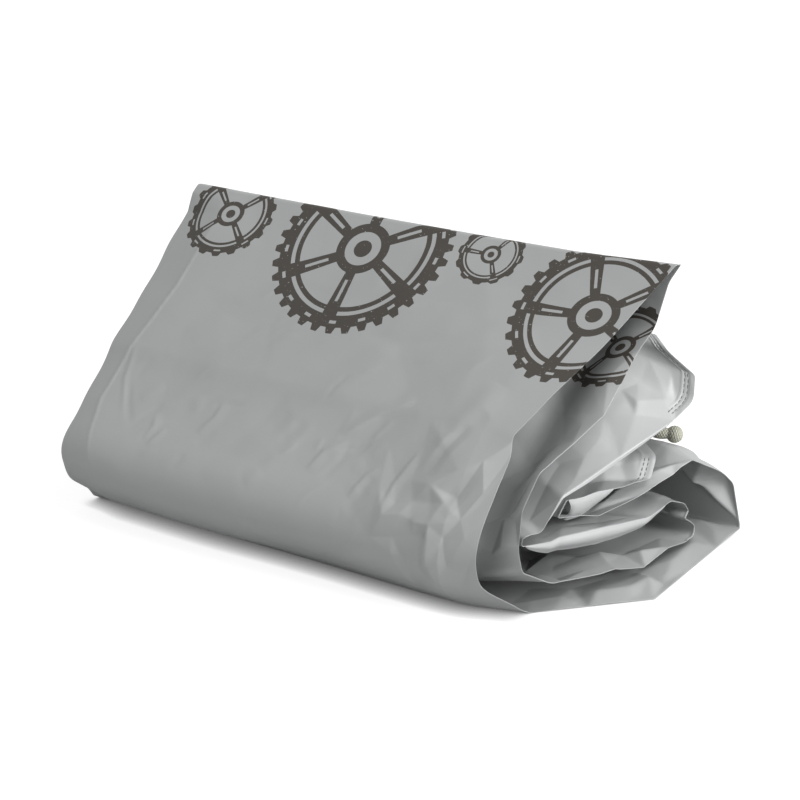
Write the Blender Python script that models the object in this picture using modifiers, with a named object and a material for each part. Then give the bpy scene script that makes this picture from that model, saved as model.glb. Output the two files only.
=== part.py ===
"""Folded bicycle cover: one long strip of plastic cloth folded back and forth into a packet.

The strip is one closed sheet. Its course is a table of folds, one row a fold, from the small hemmed
flap inside, over the rear hump, round the bottom and front, over the ridge, down and round the flat
inner roll, and up into the big hemmed flap. A short end of the elastic hem cord lies on the hump.
X runs along the roll to the open end, +Y is away from the front face, +Z is up, metres.
"""

import math
from collections import namedtuple

import bmesh
import bpy
import numpy as np
from mathutils import Vector

MM = 0.001

# ---- named driving sizes, mm --------------------------------------------------------------------
SHEET_T = 1.6  # thickness of the folded plies taken as one sheet
LEFT_X = -185.0  # where the closed end of the packet stands
MID_X = -60.0  # station of the inner section
THROAT_X = 96.0  # station where the open end begins to spread
LEFT_STEPS = 3  # stations from the closed end to the inner section
MID_STEPS = 3  # stations from there to the throat
RIGHT_STEPS = 5  # stations from the throat to the open rim
RIPPLE = 1.5  # slack of the plies between their folds
CENTRE_Y = 1.665  # moves the packet so that its box is centred over the origin
CORD_D = 5.0  # elastic hem cord
KNOT_D = 11.0  # the knot tied in its end

# ---- the folds of the strip ---------------------------------------------------------------------
# name: the fold; yi, zi: its place in the inner section; yt, zt: at the throat; xr, yr, zr: at the
# open rim; inset: how far its closed end stands back from LEFT_X; soft: length of the bend on each
# side, mm; steps: facets in the bend.
Fold = namedtuple("Fold", "name yi zi yt zt xr yr zr inset soft steps")
FOLDS = [
    Fold("tip_end", 40, 66, 44, 68, 139, 56, 68, 12, 0, 0),
    Fold("tip_top", -10, 62, -10, 65, 155, 44, 65, 11, 5, 2),
    Fold("tip_lower", -24, 56, -22, 56, 157, 33, 54, 11, 4, 2),
    Fold("tuck_upper", -44, 53, -40, 54, 134, -27, 57, 9, 3, 1),
    Fold("tuck_lower", -44, 46, -40, 47, 134, -35, 49, 9, 3, 2),
    Fold("lap_front", -10, 41, -6, 41, 143, -5, 42, 8, 8, 1),
    Fold("lap_mid", 24, 48, 26, 48, 155, 24, 46, 6, 8, 1),
    Fold("lap_back", 52, 58, 52, 60, 164, 52, 54, 5, 4, 1),
    Fold("hump_top", 68, 63, 70, 67, 170, 65, 59, 3, 6, 2),
    Fold("hump_back", 98, 52, 100, 56, 172, 99, 42.5, 2, 14, 3),
    Fold("back_wall", 107, 30, 108, 30, 178, 107, 31, 1, 8, 1),
    Fold("back_foot", 103, 0, 105, 0, 183, 111, 0, 1, 5, 2),
    Fold("underside", 10, 0, 4, 0, 185, -10, 0, 0, 0, 0),
    Fold("front_foot", -80, 0, -80, 0, 132, -68, 0, 0, 7, 2),
    Fold("front_low", -110, 17, -106, 19, 119, -102, 26, 0, 10, 2),
    Fold("front_bulge", -115, 46, -110, 48, 118, -104, 52, 0, 13, 3),
    Fold("front_face", -68, 91, -67, 93, 118, -67, 93, 0, 10, 1),
    Fold("face_tuck", -58, 102, -56, 104, 115, -58, 103, 0, 6, 1),
    Fold("face_point", -34, 124, -34, 124, 125, -35, 122, 0, 0, 0),
    Fold("face_high", -4, 151, -4, 150, 142, -2, 148, 0, 8, 1),
    Fold("ridge_front", 34, 185.5, 36, 186.5, 165, 38, 189.5, 0, 2.0, 1),
    Fold("ridge_back", 39, 184.5, 41, 185.5, 165.6, 43, 188.5, 1, 2.0, 1),
    Fold("neck_top", 38, 170, 41, 173, 158, 43.5, 176, 1, 4, 1),
    Fold("neck_low", 33, 150, 36, 150, 152, 40, 148, 3, 8, 1),
    Fold("shelf", 8, 134, 10, 130, 150, 14, 132, 5, 8, 1),
    Fold("shelf_point", -18, 113, -20, 110, 149, -14, 110.5, 6, 4, 1),
    Fold("breast", -58, 79, -58, 78, 140, -45, 96, 6, 8, 1),
    Fold("breast_low", -92, 52, -88, 56, 135, -79, 66, 5, 7, 1),
    Fold("roll_front", -97, 38, -93, 38, 135, -84, 46, 4, 5, 1),
    Fold("roll_foot", -88, 16, -86, 20, 137, -83, 33, 3, 6, 2),
    Fold("roll_under", -64, 7, -62, 9, 147, -66, 21, 3, 6, 1),
    Fold("roll_star", -6, 5, -6, 6, 163, -14, 13, 4, 0, 0),
    Fold("roll_heel", 70, 6, 70, 7, 171, 60, 8.5, 7, 5, 2),
    Fold("curl_low", 79, 13, 79, 14, 171, 70, 15, 9, 4, 2),
    Fold("curl_notch", 66, 19, 66, 20, 168, 61, 21.5, 9, 3, 1),
    Fold("curl_high", 76, 25, 76, 26, 167, 68, 27, 8, 4, 2),
    Fold("curl_top", 60, 32, 60, 34, 164, 50, 38, 8, 6, 1),
    Fold("roll_top", 2, 32, 4, 32, 140, 3, 36, 10, 8, 1),
    Fold("roll_brow", -30, 33, -28, 33, 129, -26, 40, 11, 8, 1),
    Fold("roll_lip", -74, 35, -70, 37, 131, -74, 44, 11, 4, 2),
    Fold("flap_turn", -77, 43, -73, 47, 132, -74, 50, 11, 4, 2),
    Fold("flap_root", -58, 58, -58, 60, 138, -57, 55, 10, 5, 1),
    Fold("flap_low", -30, 82, -30, 80, 142, -28, 66, 8, 7, 1),
    Fold("flap_mid", -2, 104, -4, 98, 152, 6, 79, 6, 7, 1),
    Fold("hem_low", 14, 117, 14, 110, 165, 46, 91, 5, 8, 1),
    Fold("hem_belly", 30, 128, 32, 120, 169, 62, 98, 4, 7, 1),
    Fold("hem_corner", 44, 135, 50, 128, 166, 69, 112, 3, 4, 1),
    Fold("hem_top", 56, 138, 62, 133, 148, 64, 127, 3, 5, 1),
    Fold("flap_crown", 66, 136, 72, 134, 137, 70, 133, 4, 5, 2),
    Fold("rear_high", 80, 116, 84, 116, 130, 84, 116, 4, 9, 1),
    Fold("rear_low", 97, 84, 99, 84, 128, 99, 84, 6, 6, 2),
    Fold("rear_tuck", 88, 75, 88, 77, 126, 88, 77, 8, 4, 2),
    Fold("inner_back", 50, 76, 52, 78, 124, 54, 79, 10, 8, 1),
    Fold("inner_fold", 2, 76, 6, 77, 120, 12, 77, 13, 4, 2),
    Fold("inner_return", 4, 86, 8, 87, 119, 14, 86, 13, 4, 2),
    Fold("inner_mid", 44, 100, 48, 100, 117, 50, 98, 11, 8, 1),
    Fold("inner_end", 74, 112, 76, 110, 114, 76, 108, 9, 0, 0),
]


def clear_scene():
    """Take everything out of the opened file."""
    for item in list(bpy.data.objects):
        bpy.data.objects.remove(item, do_unlink=True)


def catmull(knots, points, x):
    """Smooth place at x on the curve through the points that stand at the knots."""
    i = 0
    while i < len(knots) - 2 and x > knots[i + 1]:
        i += 1
    h = knots[i + 1] - knots[i]
    t = (x - knots[i]) / h
    p0, p1 = points[i], points[i + 1]

    def slope(k):
        if k == 0 or k == len(knots) - 1:
            return None
        back = (points[k] - points[k - 1]) / (knots[k] - knots[k - 1])
        ahead = (points[k + 1] - points[k]) / (knots[k + 1] - knots[k])
        return (back + ahead) * 0.5

    chord = (p1 - p0) / h
    m0 = slope(i)
    m1 = slope(i + 1)
    m0 = chord if m0 is None else m0
    m1 = chord if m1 is None else m1
    a = 2 * t**3 - 3 * t**2 + 1
    b = t**3 - 2 * t**2 + t
    c = -2 * t**3 + 3 * t**2
    d = t**3 - t**2
    return a * p0 + b * h * m0 + c * p1 + d * h * m1


def fold_path(fold):
    """Stations of one fold line, from the closed end to the open rim."""
    left = np.array([LEFT_X + fold.inset, fold.yi, fold.zi], float)
    mid = np.array([MID_X, fold.yi, fold.zi], float)
    throat = np.array([THROAT_X, fold.yt, fold.zt], float)
    rim = np.array([fold.xr, fold.yr, fold.zr], float)
    knots = [0.0, 1.0, 2.0, 3.0]
    points = [left, mid, throat, rim]
    marks = [k / LEFT_STEPS for k in range(LEFT_STEPS)]
    marks += [1 + k / MID_STEPS for k in range(MID_STEPS)]
    marks += [2 + k / RIGHT_STEPS for k in range(RIGHT_STEPS + 1)]
    out = []
    for v in marks:
        p = catmull(knots, points, v)
        lo = int(min(v, 2.999))
        p[0] = points[lo][0] + (points[lo + 1][0] - points[lo][0]) * (v - lo)
        out.append(p)
    return np.array(out)


def bend_points(before, at, after, soft, steps):
    """Points of a soft bend at one fold: a curve that leaves and joins the plies on either side."""
    if steps == 0:
        return [at]
    back = before - at
    ahead = after - at
    lb = np.linalg.norm(back)
    la = np.linalg.norm(ahead)
    start = at + back * min(soft, 0.45 * lb) / lb
    end = at + ahead * min(soft, 0.45 * la) / la
    pts = []
    for k in range(steps + 1):
        t = k / steps
        pts.append((1 - t) ** 2 * start + 2 * t * (1 - t) * at + t**2 * end)
    return pts


def ripple(x, place):
    """Height of the slack in the cloth, mm, at x and at that place along the strip."""
    long_wave = math.sin(x / 41.0 + place * 0.9) * 0.55
    cross_wave = math.sin(x / 23.0 - place * 1.7 + 1.0) * 0.35
    return (long_wave + cross_wave) * RIPPLE


def slacken(paths):
    """Let the plies sag and swell a little, all but the flat underside, its feet and the ridge."""
    firm = ("back_foot", "underside", "front_foot", "ridge_front", "ridge_back")
    count = len(paths[0])
    for i in range(1, len(paths) - 1):
        if FOLDS[i].name in firm:
            continue
        for s in range(count - 1):
            run = paths[i + 1][s] - paths[i - 1][s]
            across = np.array([0.0, -run[2], run[1]])
            across /= max(np.linalg.norm(across), 1e-6)
            paths[i][s] += across * ripple(paths[i][s][0], i * 0.37)


def strip_grid():
    """Rows of points along the strip, one list a station."""
    paths = [fold_path(f) for f in FOLDS]
    slacken(paths)
    count = len(paths[0])
    grid = []
    for s in range(count):
        pts = [p[s] for p in paths]
        row = []
        for i, fold in enumerate(FOLDS):
            if i in (0, len(FOLDS) - 1):
                row.append(pts[i])
                continue
            row += bend_points(pts[i - 1], pts[i], pts[i + 1], fold.soft, fold.steps)
        grid.append(row)
    return grid


def place(bm, p):
    """New vertex at a point given in mm in the packet's own measure."""
    return bm.verts.new((p[0] * MM, (p[1] + CENTRE_Y) * MM, p[2] * MM))


def add_material(obj, name, color, rough, coat=0.0):
    mat = bpy.data.materials.new(name)
    mat.use_nodes = True
    node = mat.node_tree.nodes["Principled BSDF"]
    node.inputs["Base Color"].default_value = (*color, 1.0)
    node.inputs["Roughness"].default_value = rough
    node.inputs["Coat Weight"].default_value = coat
    mat.diffuse_color = (*color, 1.0)
    obj.data.materials.append(mat)


def cover_cloth(coll):
    """The whole strip as one sheet of even thickness, its underside flat on the rest plane."""
    grid = strip_grid()
    mesh = bpy.data.meshes.new("cover_cloth")
    bm = bmesh.new()
    lift = np.array([0.0, 0.0, SHEET_T / 2])
    rows = []
    for row in grid:
        rows.append([place(bm, p + lift) for p in row])
    for a, b in zip(rows, rows[1:]):
        for k in range(len(a) - 1):
            bm.faces.new((a[k], b[k], b[k + 1], a[k + 1]))
    bmesh.ops.recalc_face_normals(bm, faces=bm.faces)
    bm.to_mesh(mesh)
    bm.free()
    obj = bpy.data.objects.new("cover_cloth", mesh)
    coll.objects.link(obj)
    solid = obj.modifiers.new("ply", "SOLIDIFY")
    solid.thickness = SHEET_T * MM
    solid.offset = 0.0
    solid.use_even_offset = True
    solid.use_quality_normals = True
    add_material(obj, "silver_plastic_cloth", (0.47, 0.48, 0.50), 0.38)
    return obj


def hem_cord(coll):
    """The free end of the elastic cord, with the knot tied in it, lying on the hump."""
    course = [
        (92.0, 66.0, 69.1),
        (112.0, 66.0, 68.8),
        (132.0, 67.0, 67.4),
        (144.0, 71.0, 66.9),
        (156.0, 77.0, 65.5),
    ]
    sides = 10
    rings = []
    bm = bmesh.new()
    smooth = []
    for i in range(len(course) - 1):
        for k in range(3):
            t = k / 3
            a, b = np.array(course[i]), np.array(course[i + 1])
            smooth.append(a + (b - a) * t)
    smooth.append(np.array(course[-1]))
    n = len(smooth)
    for i, p in enumerate(smooth):
        ahead = smooth[min(i + 1, n - 1)] - smooth[max(i - 1, 0)]
        t = Vector(ahead).normalized()
        side = t.cross(Vector((0, 0, 1))).normalized()
        up = side.cross(t)
        run = i / (n - 1)
        swell = math.exp(-(((run - 0.93) / 0.085) ** 2))
        r = CORD_D / 2 + (KNOT_D - CORD_D) / 2 * swell
        if i == n - 1:
            r *= 0.62
        ring = []
        for k in range(sides):
            a = 2 * math.pi * k / sides
            q = Vector(p) + side * (r * math.cos(a)) + up * (r * math.sin(a))
            ring.append(place(bm, q))
        rings.append(ring)
    for a, b in zip(rings, rings[1:]):
        for k in range(sides):
            j = (k + 1) % sides
            bm.faces.new((a[k], a[j], b[j], b[k]))
    bm.faces.new(list(reversed(rings[0])))
    bm.faces.new(rings[-1])
    bmesh.ops.recalc_face_normals(bm, faces=bm.faces)
    mesh = bpy.data.meshes.new("hem_cord")
    bm.to_mesh(mesh)
    bm.free()
    obj = bpy.data.objects.new("hem_cord", mesh)
    coll.objects.link(obj)
    add_material(obj, "braided_elastic", (0.36, 0.36, 0.31), 0.8)
    return obj


def main():
    clear_scene()
    coll = bpy.data.collections.new("bicycle_cover")
    bpy.context.scene.collection.children.link(coll)
    cover_cloth(coll)
    hem_cord(coll)


main()
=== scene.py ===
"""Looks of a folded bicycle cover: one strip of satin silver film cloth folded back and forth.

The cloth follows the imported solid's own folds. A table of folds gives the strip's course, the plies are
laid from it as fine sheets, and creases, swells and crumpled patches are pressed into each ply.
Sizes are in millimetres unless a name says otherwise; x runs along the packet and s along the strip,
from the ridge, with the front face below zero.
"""

import logging
import math
import random
from dataclasses import dataclass
from enum import Enum

import bmesh
import bpy
import numpy as np
from mathutils import Matrix, Vector, geometry


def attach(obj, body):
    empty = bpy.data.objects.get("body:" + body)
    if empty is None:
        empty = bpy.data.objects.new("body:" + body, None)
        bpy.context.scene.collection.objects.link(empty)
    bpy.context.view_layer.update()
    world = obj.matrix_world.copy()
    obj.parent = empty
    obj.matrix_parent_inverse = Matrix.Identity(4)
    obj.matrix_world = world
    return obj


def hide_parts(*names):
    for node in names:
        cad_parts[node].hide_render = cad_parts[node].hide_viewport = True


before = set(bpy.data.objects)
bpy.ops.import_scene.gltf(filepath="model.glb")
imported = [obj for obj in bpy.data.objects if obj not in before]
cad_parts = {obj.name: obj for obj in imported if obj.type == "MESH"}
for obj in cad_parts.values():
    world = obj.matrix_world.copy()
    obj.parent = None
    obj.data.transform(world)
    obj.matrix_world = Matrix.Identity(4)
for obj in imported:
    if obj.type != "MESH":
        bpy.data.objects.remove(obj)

LOG = logging.getLogger("bicycle_cover")
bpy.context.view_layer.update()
MM = 0.001
TINY = 1e-9
UP = (0.0, 0.0, 1.0)
WHITE = (1.0, 1.0, 1.0, 1.0)

Triple = tuple[float, float, float]
Pair = tuple[float, float]


# ---- small helpers ------------------------------------------------------------------------------


def unit(ways: np.ndarray) -> np.ndarray:
    """The same directions, each with length one."""
    return ways / np.maximum(np.linalg.norm(ways, axis=-1, keepdims=True), TINY)


def run_along(places: np.ndarray, axis: int) -> np.ndarray:
    """How far each place lies along its line.

    Args:
        places: places, with x, y and z last.
        axis: which axis the lines run along.

    Returns:
        The way from each line's start.
    """
    gaps = np.linalg.norm(np.diff(places, axis=axis), axis=-1)
    start = np.zeros_like(np.take(gaps, [0], axis=axis))
    return np.concatenate([start, np.cumsum(gaps, axis=axis)], axis=axis)


def soften(level: np.ndarray) -> np.ndarray:
    """Mixes each place with its four neighbours.

    Args:
        level: a field of heights.

    Returns:
        The softer field, its edges kept.
    """
    own, each = 0.4, 0.15
    pad = np.pad(level, 1, mode="edge")
    across = pad[:-2, 1:-1] + pad[2:, 1:-1]
    along = pad[1:-1, :-2] + pad[1:-1, 2:]
    return level * own + (across + along) * each


def cubic(t: np.ndarray, start: np.ndarray, end: np.ndarray, leave: np.ndarray,
          arrive: np.ndarray) -> np.ndarray:
    """Places on smooth curves between two points.

    Args:
        t: share of the way.
        start: where the curve starts.
        end: where it ends.
        leave: its slope at the start, over the whole way.
        arrive: its slope at the end.

    Returns:
        One place a row.
    """
    place = (2 * t**3 - 3 * t**2 + 1) * start + (t**3 - 2 * t**2 + t) * leave
    place += (3 * t**2 - 2 * t**3) * end + (t**3 - t**2) * arrive
    return place


def toward(at: np.ndarray, other: np.ndarray, reach: float) -> np.ndarray:
    """Places a little way from one fold line to another.

    Args:
        at: the line they start from.
        other: the line they go towards.
        reach: how far they go, less where the lines lie close.

    Returns:
        One place a station.
    """
    most = 0.45
    way = other - at
    full = np.linalg.norm(way, axis=1)[:, None]
    return at + way * np.minimum(reach, most * full) / full


def fine_sheet(places: np.ndarray, maps: np.ndarray, layer: str) -> bmesh.types.BMesh:
    """A sheet of small faces through a grid of places.

    Args:
        places: millimetres, by row, column and axis.
        maps: the two values of its map at each place, metres.
        layer: the map's name.

    Returns:
        The sheet.
    """
    rows, columns = places.shape[:2]
    bm = bmesh.new()
    bmesh.ops.create_grid(bm, x_segments=columns - 1, y_segments=rows - 1, size=1.0)
    bm.verts.index_update()
    for vert, place in zip(bm.verts, (places * MM).reshape(-1, 3)):
        vert.co = place
    uv = bm.loops.layers.uv.new(layer)
    pairs = maps.reshape(-1, 2)
    for face in bm.faces:
        for loop in face.loops:
            loop[uv].uv = pairs[loop.vert.index]
    return bm


def finish_piece(bm: bmesh.types.BMesh, name: str, material: bpy.types.Material) -> bpy.types.Object:
    """Makes a smooth object at the origin from a mesh under way.

    Args:
        bm: the mesh, freed here.
        name: the piece's name.
        material: its material.

    Returns:
        The piece.
    """
    for face in bm.faces:
        face.smooth = True
    mesh = bpy.data.meshes.new(name)
    bm.to_mesh(mesh)
    bm.free()
    mesh.materials.append(material)
    piece = bpy.data.objects.new(name, mesh)
    bpy.context.scene.collection.objects.link(piece)
    return piece


# ---- the course of the strip --------------------------------------------------------------------


@dataclass(frozen=True)
class Fold:
    """One fold of the strip.

    Attributes:
        name: which fold it is.
        inner_y, inner_z: its place in the inner section.
        throat_y, throat_z: its place where the open end begins to spread.
        rim_x, rim_y, rim_z: its place at the open rim.
        inset: how far its closed end stands back.
        soft: length of the bend on each side.
    """

    name: str
    inner_y: float
    inner_z: float
    throat_y: float
    throat_z: float
    rim_x: float
    rim_y: float
    rim_z: float
    inset: float
    soft: float


# The folds in their order along the strip, from the small inner tip to the end of the inner return.
FOLDS = (
    Fold("tip_end", 40, 66, 44, 68, 139, 56, 68, 12, 0),
    Fold("tip_top", -10, 62, -10, 65, 155, 44, 65, 11, 4),
    Fold("tip_lower", -24, 56, -22, 56, 157, 33, 54, 11, 2.5),
    Fold("tuck_upper", -44, 53, -40, 54, 134, -27, 57, 9, 2),
    Fold("tuck_lower", -44, 46, -40, 47, 134, -38, 49, 9, 2),
    Fold("lap_front", -10, 41, -6, 41, 143, -5, 40, 8, 1.5),
    Fold("lap_mid", 24, 48, 26, 48, 155, 24, 46, 6, 8),
    Fold("lap_back", 52, 58, 52, 60, 164, 52, 54, 5, 4),
    Fold("hump_top", 68, 63, 70, 67, 169, 65, 58, 3, 1.5),
    Fold("hump_back", 98, 52, 100, 56, 173, 101, 36, 2, 6),
    Fold("back_wall", 107, 30, 108, 30, 178, 107, 30, 1, 3),
    Fold("back_foot", 103, 0, 105, 0, 183, 111, 0, 1, 3),
    Fold("underside", 10, 0, 4, 0, 185, -10, 0, 0, 1),
    Fold("front_foot", -80, 0, -80, 0, 132, -68, 0, 0, 6),
    Fold("front_low", -110, 17, -104.5, 20, 119, -102, 26, 0, 14),
    Fold("front_bulge", -118, 48, -108.5, 50, 118, -104, 52, 0, 22),
    Fold("front_face", -68, 91, -67, 93, 118, -67, 93, 0, 12),
    Fold("face_tuck", -58, 102, -56, 104, 115, -58, 103, 0, 2),
    Fold("face_point", -34, 124, -34, 124, 125, -35, 122, 0, 2.5),
    Fold("face_high", -4, 151, -4, 150, 142, -2, 148, 0, 8),
    Fold("ridge_front", 34, 185.5, 36, 186.5, 165, 38, 189.5, 0, 1.6),
    Fold("ridge_back", 39, 184.5, 41, 185.5, 165.6, 43, 188.5, 0, 1.6),
    Fold("neck_top", 38, 170, 41, 173, 158, 43.5, 176, 1, 3),
    Fold("neck_low", 33, 150, 36, 150, 152, 40, 148, 3, 5),
    Fold("shelf", 8, 134, 10, 130, 150, 14, 132, 5, 6),
    Fold("shelf_point", -18, 113, -20, 110, 149, -13.5, 108, 6, 1),
    Fold("breast", -58, 79, -58, 78, 139, -68, 88.5, 6, 2.5),
    Fold("breast_low", -92, 52, -88, 56, 135, -81, 69, 5, 4),
    Fold("roll_front", -97, 38, -93, 38, 135, -84, 46, 4, 4),
    Fold("roll_foot", -88, 16, -86, 20, 137, -83, 33, 3, 3),
    Fold("roll_under", -64, 7, -62, 9, 147, -66, 21, 3, 4),
    Fold("roll_star", -6, 5, -6, 6, 163, -14, 13, 4, 2),
    Fold("roll_heel", 70, 6, 70, 7, 171, 59, 7, 7, 2),
    Fold("curl_low", 77, 9, 77, 9, 171, 68, 7, 9, 3),
    Fold("curl_mid", 79, 14, 79, 14, 170, 71, 12.5, 9, 3),
    Fold("curl_notch", 66, 19, 66, 20, 168, 61.5, 20.5, 9, 1.5),
    Fold("curl_high", 76, 23, 76, 24, 167.5, 68, 23.5, 8, 3),
    Fold("curl_brow", 72, 28, 72, 30, 167, 62, 31, 8, 3),
    Fold("curl_top", 60, 32, 60, 34, 165, 46, 38, 8, 3),
    Fold("roll_top", 2, 34, 4, 34, 158, 33, 29, 10, 4),
    Fold("roll_brow", -30, 35, -28, 36, 137, -38, 38, 11, 6),
    Fold("roll_lip", -74, 35, -70, 37, 131, -74, 44, 11, 3),
    Fold("flap_turn", -77, 43, -73, 47, 132, -74, 50, 11, 3),
    Fold("flap_root", -58, 58, -58, 60, 137, -61, 51, 10, 2),
    Fold("flap_low", -30, 82, -30, 80, 141, -46, 67.5, 8, 2.5),
    Fold("flap_mid", -2, 104, -4, 98, 152, 6, 79, 6, 7),
    Fold("hem_low", 14, 117, 14, 110, 165, 46, 91, 5, 6),
    Fold("hem_belly", 30, 128, 32, 120, 169, 62, 98, 4, 5),
    Fold("hem_corner", 44, 135, 50, 128, 166, 69, 112, 3, 2.5),
    Fold("hem_top", 56, 138, 62, 133, 148, 64, 127, 3, 4),
    Fold("flap_crown", 66, 136, 72, 134, 137, 70, 133, 4, 3),
    Fold("rear_high", 80, 116, 84, 116, 130, 84, 116, 4, 7),
    Fold("rear_low", 97, 84, 99, 84, 128, 99, 84, 6, 4),
    Fold("rear_tuck", 88, 75, 88, 77, 126, 88, 77, 8, 3),
    Fold("inner_back", 50, 76, 52, 78, 124, 54, 79, 10, 8),
    Fold("inner_fold", 2, 76, 6, 77, 120, 12, 77, 13, 3),
    Fold("inner_return", 4, 86, 8, 87, 119, 14, 86, 13, 3),
    Fold("inner_mid", 44, 100, 48, 100, 117, 50, 98, 11, 8),
    Fold("inner_end", 74, 112, 76, 110, 114, 76, 108, 9, 0),
)


@dataclass(frozen=True)
class Wave:
    """A slow wave.

    Attributes:
        length: the way over which it turns by one radian.
        high: its height.
        shift: how far on it is at each next fold, radians.
        start: how far on it starts, radians.
    """

    length: float
    high: float = 1.0
    shift: float = 0.0
    start: float = 0.0

    def at(self, run: np.ndarray, fold: int = 0) -> np.ndarray:
        """The wave's height along a run."""
        return np.sin(run / self.length + fold * self.shift + self.start) * self.high


@dataclass(frozen=True)
class Laid:
    """The strip once laid.

    Attributes:
        points: places by station and column.
        s: how far each place is along the strip.
        mark: each fold's column.
    """

    points: np.ndarray
    s: np.ndarray
    mark: dict[str, int]


@dataclass(frozen=True)
class Strip:
    """The strip's whole course, from which every ply is laid.

    Attributes:
        left_x: where the closed end stands.
        mid_x: station of the inner section.
        throat_x: station where the open end begins to spread.
        lift: height of the sheet's middle over the surface it lies on.
        centre_y: shift that centres the packet over the origin.
        ripple: slack of the plies between their folds.
        waves: the slow waves that the slack makes along x.
        firm: folds that run straight.
        bend_steps: fewest columns in a bend.
        settles_below: height under which the cloth settles onto the floor.
        bed: how close the settled cloth lies.
        lowest: how close it may come anywhere.
    """

    left_x: float = -187.5
    mid_x: float = -60.0
    throat_x: float = 96.0
    lift: float = 0.8
    centre_y: float = 1.665
    ripple: float = 1.5
    waves: tuple[Wave, ...] = (Wave(41.0, 0.55, 0.333), Wave(23.0, 0.35, -0.629, 1.0))
    firm: tuple[str, ...] = ("back_foot", "underside", "front_foot", "ridge_front", "ridge_back")
    bend_steps: int = 4
    settles_below: float = 8.0
    bed: float = 0.15
    lowest: float = 0.1

    def fold_line(self, fold: Fold, v: np.ndarray) -> np.ndarray:
        """One fold's smooth line along the packet.

        Args:
            fold: which fold.
            v: the stations, 0 at the closed end and 3 at the rim.

        Returns:
            One place a station.
        """
        known = np.array(
            [
                [self.left_x + fold.inset, fold.inner_y, fold.inner_z],
                [self.mid_x, fold.inner_y, fold.inner_z],
                [self.throat_x, fold.throat_y, fold.throat_z],
                [fold.rim_x, fold.rim_y, fold.rim_z],
            ]
        )
        i = np.minimum(v.astype(int), 2)
        t = (v - i)[:, None]
        chords = known[1:] - known[:-1]
        slopes = np.vstack([chords[0], (chords[:-1] + chords[1:]) * 0.5, chords[2]])
        line = cubic(t, known[i], known[i + 1], slopes[i], slopes[i + 1])
        line[:, 0] = known[i, 0] + chords[i, 0] * t[:, 0]
        return line

    def fold_lines(self, v: np.ndarray) -> np.ndarray:
        """Every fold line, with the slack of the cloth in it.

        Args:
            v: the stations, 0 at the closed end and 3 at the rim.

        Returns:
            Places by fold, station and axis.
        """
        lines = np.array([self.fold_line(fold, v) for fold in FOLDS])
        fade = np.clip(3.0 - v, 0.0, 1.0)
        for i in range(1, len(FOLDS) - 1):
            if FOLDS[i].name in self.firm:
                continue
            run = lines[i + 1] - lines[i - 1]
            across = unit(np.stack([np.zeros(len(v)), -run[:, 2], run[:, 1]], axis=1))
            slack = sum(wave.at(lines[i][:, 0], i) for wave in self.waves) * self.ripple * fade
            lines[i] += across * slack[:, None]
        return lines

    def lay(self, v: np.ndarray, pitch: dict[str, float], default: float) -> Laid:
        """Lays the whole strip.

        Args:
            v: stations along the packet.
            pitch: spacing along the strip from a fold to the next, by the fold's name.
            default: spacing elsewhere.

        Returns:
            The laid strip.
        """
        lines = self.fold_lines(v)
        columns: list[np.ndarray] = []
        mark: dict[str, int] = {}
        last = len(FOLDS) - 1
        for i, fold in enumerate(FOLDS):
            step = pitch.get(fold.name, default)
            at = end = lines[i]
            if 0 < i < last:
                start, end = toward(at, lines[i - 1], fold.soft), toward(at, lines[i + 1], fold.soft)
                count = max(self.bend_steps, 2 * math.ceil(fold.soft / step))
                mark[fold.name] = len(columns) + count // 2
                shares = [k / count for k in range(count + 1)]
                columns += [(1 - t) ** 2 * start + 2 * t * (1 - t) * at + t**2 * end for t in shares]
            else:
                mark[fold.name] = len(columns)
                columns.append(at)
            if i < last:
                stop = toward(lines[i + 1], at, FOLDS[i + 1].soft)
                length = float(np.linalg.norm(stop - end, axis=1).mean())
                inner = max(1, round(length / step))
                columns += [end + (stop - end) * (k / inner) for k in range(1, inner)]
        points = np.stack(columns, axis=1) + np.array([0.0, self.centre_y, self.lift])
        s = run_along(points, 1)
        ridge = (mark["ridge_front"] + mark["ridge_back"]) // 2
        return Laid(points, s - s[:, ridge : ridge + 1], mark)

    def settle(self, height: np.ndarray) -> np.ndarray:
        """Lets the lowest cloth down onto the floor.

        Args:
            height: heights over the floor.

        Returns:
            The new heights.
        """
        near = np.clip((self.settles_below - height) / (self.settles_below - self.lift), 0, 1)
        return np.maximum(height - (self.lift - self.bed) * near, self.lowest)


# ---- what is pressed into the cloth -------------------------------------------------------------


class Relief:
    """Something that is pressed into a ply."""

    def height(self, x: np.ndarray, s: np.ndarray) -> np.ndarray:
        """Height that it adds.

        Args:
            x: places along the packet.
            s: places along the strip.

        Returns:
            The height at each place.
        """
        raise NotImplementedError


class Press(Enum):
    """How a crease meets the cloth on either side."""

    SHARP = "sharp"
    TENT = "tent"
    SOFT = "soft"
    LEAN = "lean"


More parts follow.
